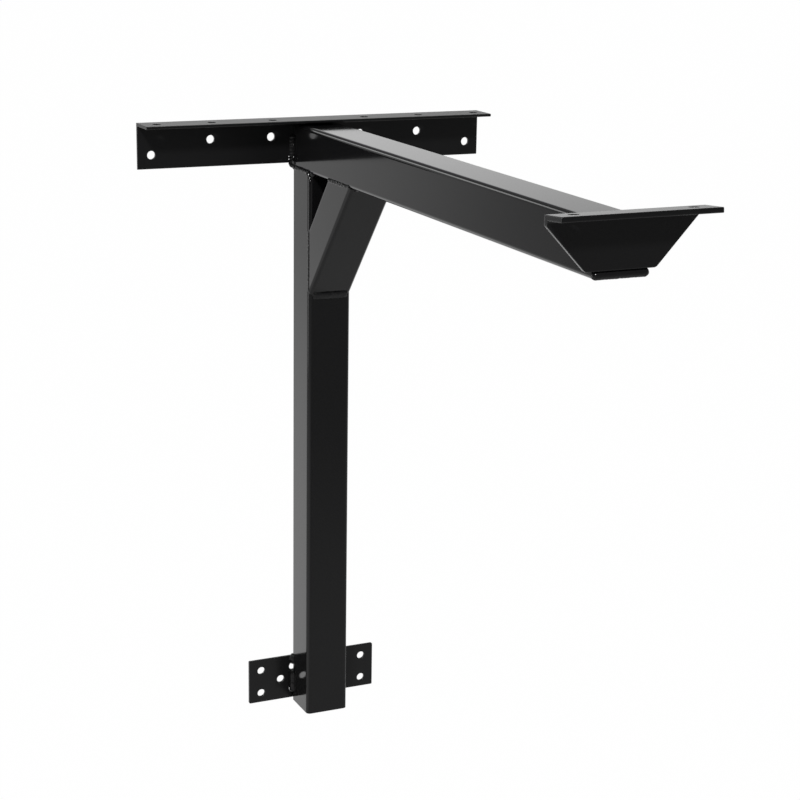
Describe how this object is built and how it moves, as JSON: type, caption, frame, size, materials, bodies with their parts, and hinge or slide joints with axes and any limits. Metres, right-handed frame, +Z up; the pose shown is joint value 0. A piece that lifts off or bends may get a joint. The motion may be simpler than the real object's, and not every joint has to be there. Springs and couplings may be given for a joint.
{
  "type": "cantilever bracket",
  "caption": "Wall-hung welded steel cantilever bracket with a drilled wall rail, square-tube arm and post, knee brace, front table angle and foot plate.",
  "frame": {"origin": "midway between the two outer wall holes of the rail, on the wall", "axes": "+Y into the wall, so the arm reaches out along -Y; +Z up, out of the flange that carries the table top; +X along the rail"},
  "size_m": [0.412, 0.7084, 0.7057],
  "materials": {
    "black_powder_coat": "semi-gloss black powder coat with a fine orange peel",
    "coated_weld": "rippled weld bead under the same black powder coat"
  },
  "bodies": {
    "root": {"wall_rail": "black_powder_coat", "arm_tube": "black_powder_coat", "post_tube": "black_powder_coat", "knee_brace": "black_powder_coat", "front_angle": "black_powder_coat", "foot_plate": "black_powder_coat", "rail_weld": "coated_weld", "post_weld": "coated_weld", "brace_top_weld": "coated_weld", "brace_foot_weld": "coated_weld", "foot_plate_weld": "coated_weld", "front_weld": "coated_weld"}
  },
  "joints": []
}
